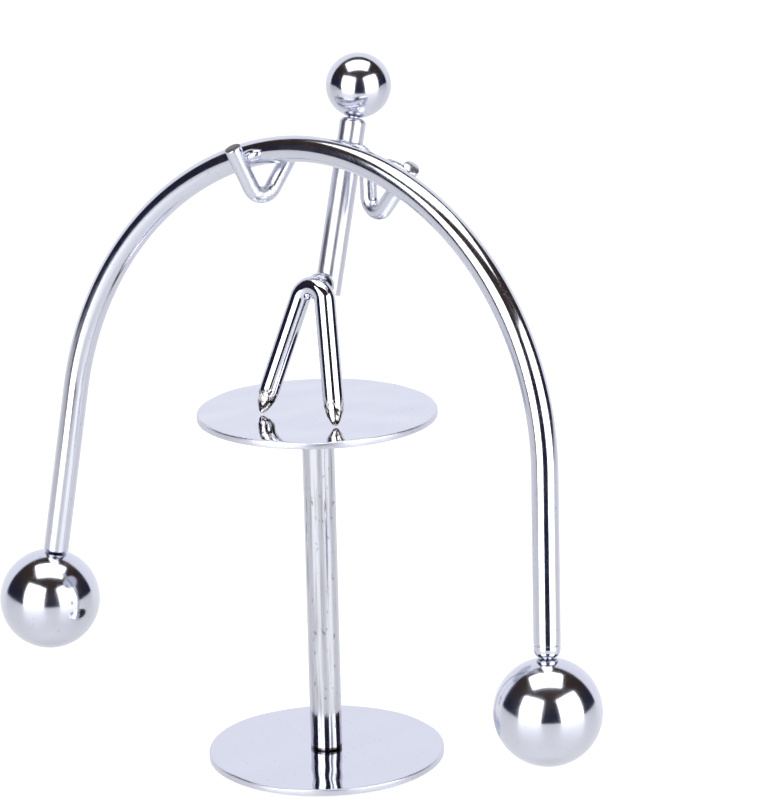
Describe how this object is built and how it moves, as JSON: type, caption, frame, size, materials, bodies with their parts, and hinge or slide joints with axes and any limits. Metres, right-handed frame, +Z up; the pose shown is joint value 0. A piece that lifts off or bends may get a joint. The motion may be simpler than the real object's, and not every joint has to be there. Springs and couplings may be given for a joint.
{
  "type": "kinetic balance toy",
  "caption": "A small chromed wire figure on pointed feet holds an arched bow with a ball at each end, and rocks on a round table that turns on a post and base disc.",
  "frame": {"origin": "centre of the base disc's underside, on the column's axis, where the toy rests on a desk", "axes": "+Z up along the column. X runs across the figure, from its left weight at -X to its right weight at +X as seen from the front. The figure's front faces -Y and its torso leans back towards +Y"},
  "size_m": [0.1396, 0.0469, 0.1367],
  "materials": {
    "chrome_plate": "bright chrome plating on steel, lightly scuffed",
    "plated_weld": "weld bead under the same plating, a little rough",
    "zinc_steel": "plain zinc-plated steel, hidden from view"
  },
  "bodies": {
    "stand": {"base_disc": "chrome_plate", "base_screw": "zinc_steel", "column": "chrome_plate"},
    "table": {"table_disc": "chrome_plate", "table_stud": "zinc_steel"},
    "figure": {"bow_rod": "chrome_plate", "left_weight": "chrome_plate", "right_weight": "chrome_plate", "legs_wire": "chrome_plate", "torso_rod": "chrome_plate", "head_ball": "chrome_plate", "arms_wire": "chrome_plate", "hip_weld": "plated_weld", "shoulder_weld": "plated_weld", "left_hand_weld": "plated_weld", "right_hand_weld": "plated_weld"}
  },
  "joints": [
    {"name": "table_turn", "type": "hinge", "parent": "stand", "child": "table", "pos_m": [0, 0, 0.07], "axis": [0, 0, 1], "continuous": true},
    {"name": "rock", "type": "hinge", "parent": "table", "child": "figure", "pos_m": [0.0016, -0.0078, 0.0708], "axis": [1, 0, 0], "range_deg": [-30, 30]}
  ]
}
